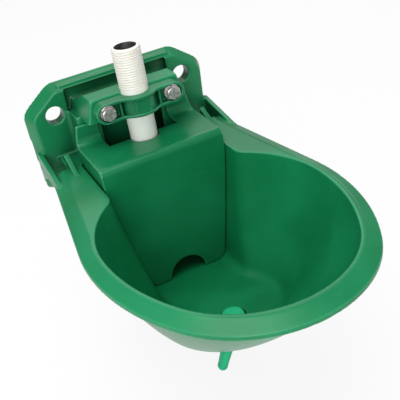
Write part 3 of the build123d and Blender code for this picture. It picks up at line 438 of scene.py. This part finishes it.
MOUTH_CHAMFER = 0.6 * MM
thread_rows = round((pipe_top - THREAD_LOW) / THREAD_PITCH * ROWS_PER_TURN)
outline = [(PIPE_SHANK - MOUTH_CHAMFER, pipe_foot), (PIPE_SHANK, pipe_foot + MOUTH_CHAMFER)]
outline += [(PIPE_SHANK, THREAD_LOW - THREAD_RELIEF)]
outline += [
    (thread_radius, THREAD_LOW + (pipe_top - MOUTH_CHAMFER - THREAD_LOW) * row / thread_rows)
    for row in range(thread_rows + 1)
]
outline += [(THREAD_CREST - THREAD_DEPTH - MOUTH_CHAMFER, pipe_top)]
outline += [(PIPE_BORE + MOUTH_CHAMFER, pipe_top), (PIPE_BORE, pipe_top - MOUTH_CHAMFER)]
outline += [(PIPE_BORE, pipe_foot)]
pipe_form = bmesh.new()
turned(pipe_form, outline, PIPE_SIDES)
DARKENED_WITHIN = PIPE_BORE + MOUTH_CHAMFER * 1.5        # the near-black colour reaches over the chamfer onto the end face
for face in pipe_form.faces:
    face.material_index = int(face.calc_center_median().xy.length < DARKENED_WITHIN)
pipe = finished(pipe_form, "inlet_pipe_threaded", Matrix.Translation((0, pipe_y, 0)))
pipe.data.materials.append(pale_plastic("pipe_white", 0.36, PIPE_TONES))
pipe.data.materials.append(dark_bore_finish("bore_black"))
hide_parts("inlet_pipe")
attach(pipe, "housing")


# ---- pipe clamp: a channel-shaped strap with ledges and ribs, moulded in the cover's darker green.
# Two bolts pull it against the saddle and so grip the riser pipe.
clamp = moulded("pipe_clamp", "clamp_strap", voxel=0.45 * MM, passes=3)
cover_green = green_plastic("cover_green", (0.004, 0.155, 0.055), (0.008, 0.205, 0.080), 0.26)
clamp.data.materials.append(cover_green)
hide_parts("pipe_clamp")
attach(clamp, "housing")


# ---- clamp bolts: two cold-forged M6 screws in bright stainless steel, hexagon head with the
# turned chamfer that forging leaves. They pass the strap and go into nuts moulded into the saddle.
BOLT_SIDES = 72
BOLT_X = 25.2 * MM
BOLT_Z = 8.3 * MM
BOLT_SHANK = 2.95 * MM
HEX_ACROSS = 9.4 * MM
HEX_SLANT = math.radians(30)
HEX_FACE = 0.96            # the flat end face as a share of the width across flats
HEX_STEPS = 6
CREASE = math.radians(28)


def hex_rings(across, low, high):
    """Rings of a hexagonal head, corner up, turned off at a slant at both ends."""
    flat = across / 2
    end_face = flat * HEX_FACE
    drop = (flat / math.cos(math.pi / 6) - end_face) * math.tan(HEX_SLANT)

    def reach(z, angle):
        hexagon = flat / math.cos((angle + math.pi / 6) % (math.pi / 3) - math.pi / 6)
        cone = end_face + min(z - low, high - z) / math.tan(HEX_SLANT)
        return min(hexagon, cone)

    rises = [drop * step / HEX_STEPS for step in range(HEX_STEPS + 1)]
    return [(reach, low + rise) for rise in rises] + [(reach, high - rise) for rise in reversed(rises)]


METAL_SHARE = 0.72         # the rest is the dull grey of a handled, dusty surface
SPOT_DULL = 0.5            # how much of its brightness a stained spot keeps
RUBBED_METAL = (0.93, 0.92, 0.90, 1.0)


def bright_metal(name, colour, rough):
    """Bright metal: rolled grain, faint spots and edges rubbed brighter."""
    material, graph, shader = finish_of(name)
    place = graph.node("TexCoord", output="Object")
    fine = graph.node("TexNoise", None, {"Vector": place, "Scale": 900.0, "Detail": 2.0})
    spots = graph.node("TexNoise", None, {"Vector": place, "Scale": 420.0, "Detail": 3.0})
    edge = graph.node("NewGeometry", output="Pointiness").between(0.52, 0.6)
    dulled = [share * SPOT_DULL for share in colour]
    metal = spots.between(0.3, 0.7).mix((*dulled, 1.0), (*colour, 1.0))
    graph.feed(shader.inputs["Base Color"], (edge * 0.7).mix(metal, RUBBED_METAL))
    shader.inputs["Metallic"].default_value = METAL_SHARE
    graph.feed(shader.inputs["Roughness"], rough + spots * 0.16)
    graph.feed(
        shader.inputs["Normal"],
        graph.node("Bump", None, {"Strength": 0.12, "Distance": 0.0001, "Height": fine}),
    )
    return material


def fastened(form, name, node, material):
    """Turns a form built along +Z to the front and hands it over as the node's piece."""
    facing_front = Matrix.Rotation(math.pi / 2, 4, "X")
    piece = finished(form, name, Matrix.Translation((0, 0, BOLT_Z)) @ facing_front)
    piece.data.materials.append(material)
    piece.data.set_sharp_from_angle(angle=CREASE)
    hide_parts(node)
    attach(piece, "housing")


stainless = bright_metal("stainless_bright", (0.80, 0.70, 0.73), 0.15)
bolt_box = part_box("clamp_bolts")
washer_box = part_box("clamp_washers")
head_seat = -washer_box[0].y
bolts_form = bmesh.new()
for side in (-1, 1):
    head = hex_rings(HEX_ACROSS, head_seat, -bolt_box[0].y)
    shank = [(BOLT_SHANK, -bolt_box[1].y), (BOLT_SHANK, head_seat)]
    turned(bolts_form, shank + head, BOLT_SIDES, (side * BOLT_X, 0.0), solid=True)
fastened(bolts_form, "hex_bolts", "clamp_bolts", stainless)


# ---- clamp washers: stamped from bright stainless sheet, one under each bolt head. Stamping
# leaves their rims slightly round.
WASHER_R = 5.9 * MM
WASHER_HOLE = 3.2 * MM
WASHER_ROUND = 0.25 * MM
washer_seat = -washer_box[1].y
rings_form = bmesh.new()
for side in (-1, 1):
    outline = [
        (WASHER_HOLE, washer_seat),
        (WASHER_R, washer_seat),
        (WASHER_R, head_seat - WASHER_ROUND),
        (WASHER_R - WASHER_ROUND, head_seat),
        (WASHER_HOLE, head_seat),
    ]
    turned(rings_form, outline, BOLT_SIDES, (side * BOLT_X, 0.0))
fastened(rings_form, "plain_washers", "clamp_washers", stainless)


# ---- clamp nuts: plain M6 nuts held in the saddle block, moulded round by the body's plastic.
# Only the bolts' ends reach them.
def dressed(nodes, material):
    """Gives CAD nodes their finish."""
    for node in nodes:
        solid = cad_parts[node].data
        solid.materials.clear()
        solid.materials.append(material)


dressed(["clamp_nuts"], stainless)


# ---- valve body: a moulded acetal socket that holds the pipe's foot above and the brass nozzle
# below. Two lugs behind it carry the lever's pin.
valve = moulded("valve_body", "valve_socket", voxel=0.5 * MM, passes=3)
valve.data.materials.append(pale_plastic("valve_white", 0.30))
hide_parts("valve_body")
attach(valve, "housing")


# ---- valve nozzle and plunger: both turned from brass bar. The nozzle is pressed into the valve
# body, and the plunger slides below it with the seal in its cup.
brass = bright_metal("turned_brass", (0.80, 0.58, 0.27), 0.22)
dressed(["valve_nozzle", "valve_plunger"], brass)


# ---- seals: the pipe's gasket and the plunger's seal are punched from black rubber sheet. One
# closes the joint under the pipe and the other the nozzle.
def black_rubber(name):
    """Dull sheet rubber with a bloom of talc."""
    material, graph, shader = finish_of(name)
    place = graph.node("TexCoord", output="Object")
    bloom = graph.node("TexNoise", None, {"Vector": place, "Scale": 300.0, "Detail": 4.0})
    colour = bloom.between(0.4, 0.75).mix((0.014, 0.014, 0.015, 1.0), (0.05, 0.05, 0.05, 1.0))
    graph.feed(shader.inputs["Base Color"], colour)
    graph.feed(shader.inputs["Roughness"], 0.6 + bloom * 0.2)
    graph.feed(
        shader.inputs["Normal"],
        graph.node("Bump", None, {"Strength": 0.2, "Distance": 0.0001, "Height": bloom}),
    )
    return material


dressed(["pipe_gasket", "plunger_seal"], black_rubber("seal_black"))


# ---- strainer: a slotted acetal cup that stands in the pipe's foot and stops grit before the
# nozzle. It is moulded in one piece with its flange.
acetal = pale_plastic("acetal_white", 0.32)
dressed(["inlet_strainer"], acetal)


# ---- float lever: moulded acetal arm with a hub at the pin, a nub under the plunger and a round
# pad on the float. A stainless pin with two clips holds it in the valve body's lugs.
lever = moulded("float_lever", "lever_arm", voxel=0.4 * MM, passes=3)
lever.data.materials.append(acetal)
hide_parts("float_lever")
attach(lever, "float_arm")
dressed(["lever_pin", "pin_clips"], stainless)


# ---- float: a block of dark closed-cell foam with a moulded skin. A long screw with washer and
# nut ties it to the lever's pad.
def foam_skin(name):
    """Fine-pored foam under a satin skin."""
    material, graph, shader = finish_of(name)
    place = graph.node("TexCoord", output="Object")
    pores = graph.node("TexVoronoi", None, {"Vector": place, "Scale": 900.0})
    cloud = graph.node("TexNoise", None, {"Vector": place, "Scale": 70.0, "Detail": 3.0})
    colour = cloud.between(0.35, 0.7).mix((0.030, 0.031, 0.034, 1.0), (0.062, 0.063, 0.068, 1.0))
    graph.feed(shader.inputs["Base Color"], colour)
    graph.feed(shader.inputs["Roughness"], 0.55 + cloud * 0.2)
    graph.feed(
        shader.inputs["Normal"],
        graph.node("Bump", None, {"Strength": 0.35, "Distance": 0.0002, "Height": pores + cloud}),
    )
    return material


block = moulded("float_block", "foam_float", voxel=0.7 * MM, passes=5)
block.data.materials.append(foam_skin("foam_dark"))
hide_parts("float_block")
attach(block, "float_arm")
dressed(["float_screw", "float_washer", "float_nut"], stainless)


# ---- cover: a draw-off hood moulded in darker green, so that animals reach only the water. It
# turns up behind the pipe, rolls over at the front and stands on the floor in front of the float.
cover = moulded("float_cover", "cover_hood", voxel=0.65 * MM, passes=4)
cover.data.materials.append(cover_green)
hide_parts("float_cover")
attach(cover, "cover")


# ---- drain plug: moulded in soft bright green rubber. Its head seals the ring in the floor and
# its tail hangs below, to pull or push it out.
def soft_rubber(name, low, high):
    """Soft elastomer: even colour, a little light inside, a fine matt skin."""
    material, graph, shader = finish_of(name)
    place = graph.node("TexCoord", output="Object")
    cloud = graph.node("TexNoise", None, {"Vector": place, "Scale": 90.0, "Detail": 3.0})
    graph.feed(shader.inputs["Base Color"], cloud.between(0.35, 0.7).mix((*low, 1.0), (*high, 1.0)))
    graph.feed(shader.inputs["Roughness"], 0.38 + cloud * 0.12)
    shader.inputs["Specular IOR Level"].default_value = 0.36
    graph.feed(
        shader.inputs["Normal"],
        graph.node("Bump", None, {"Strength": 0.1, "Distance": 0.0001, "Height": cloud}),
    )
    return material


plug = moulded("drain_plug", "plug_stopper", voxel=0.45 * MM, passes=10)
plug.data.materials.append(soft_rubber("plug_green", (0.008, 0.40, 0.175), (0.012, 0.47, 0.215)))
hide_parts("drain_plug")
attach(plug, "plug")
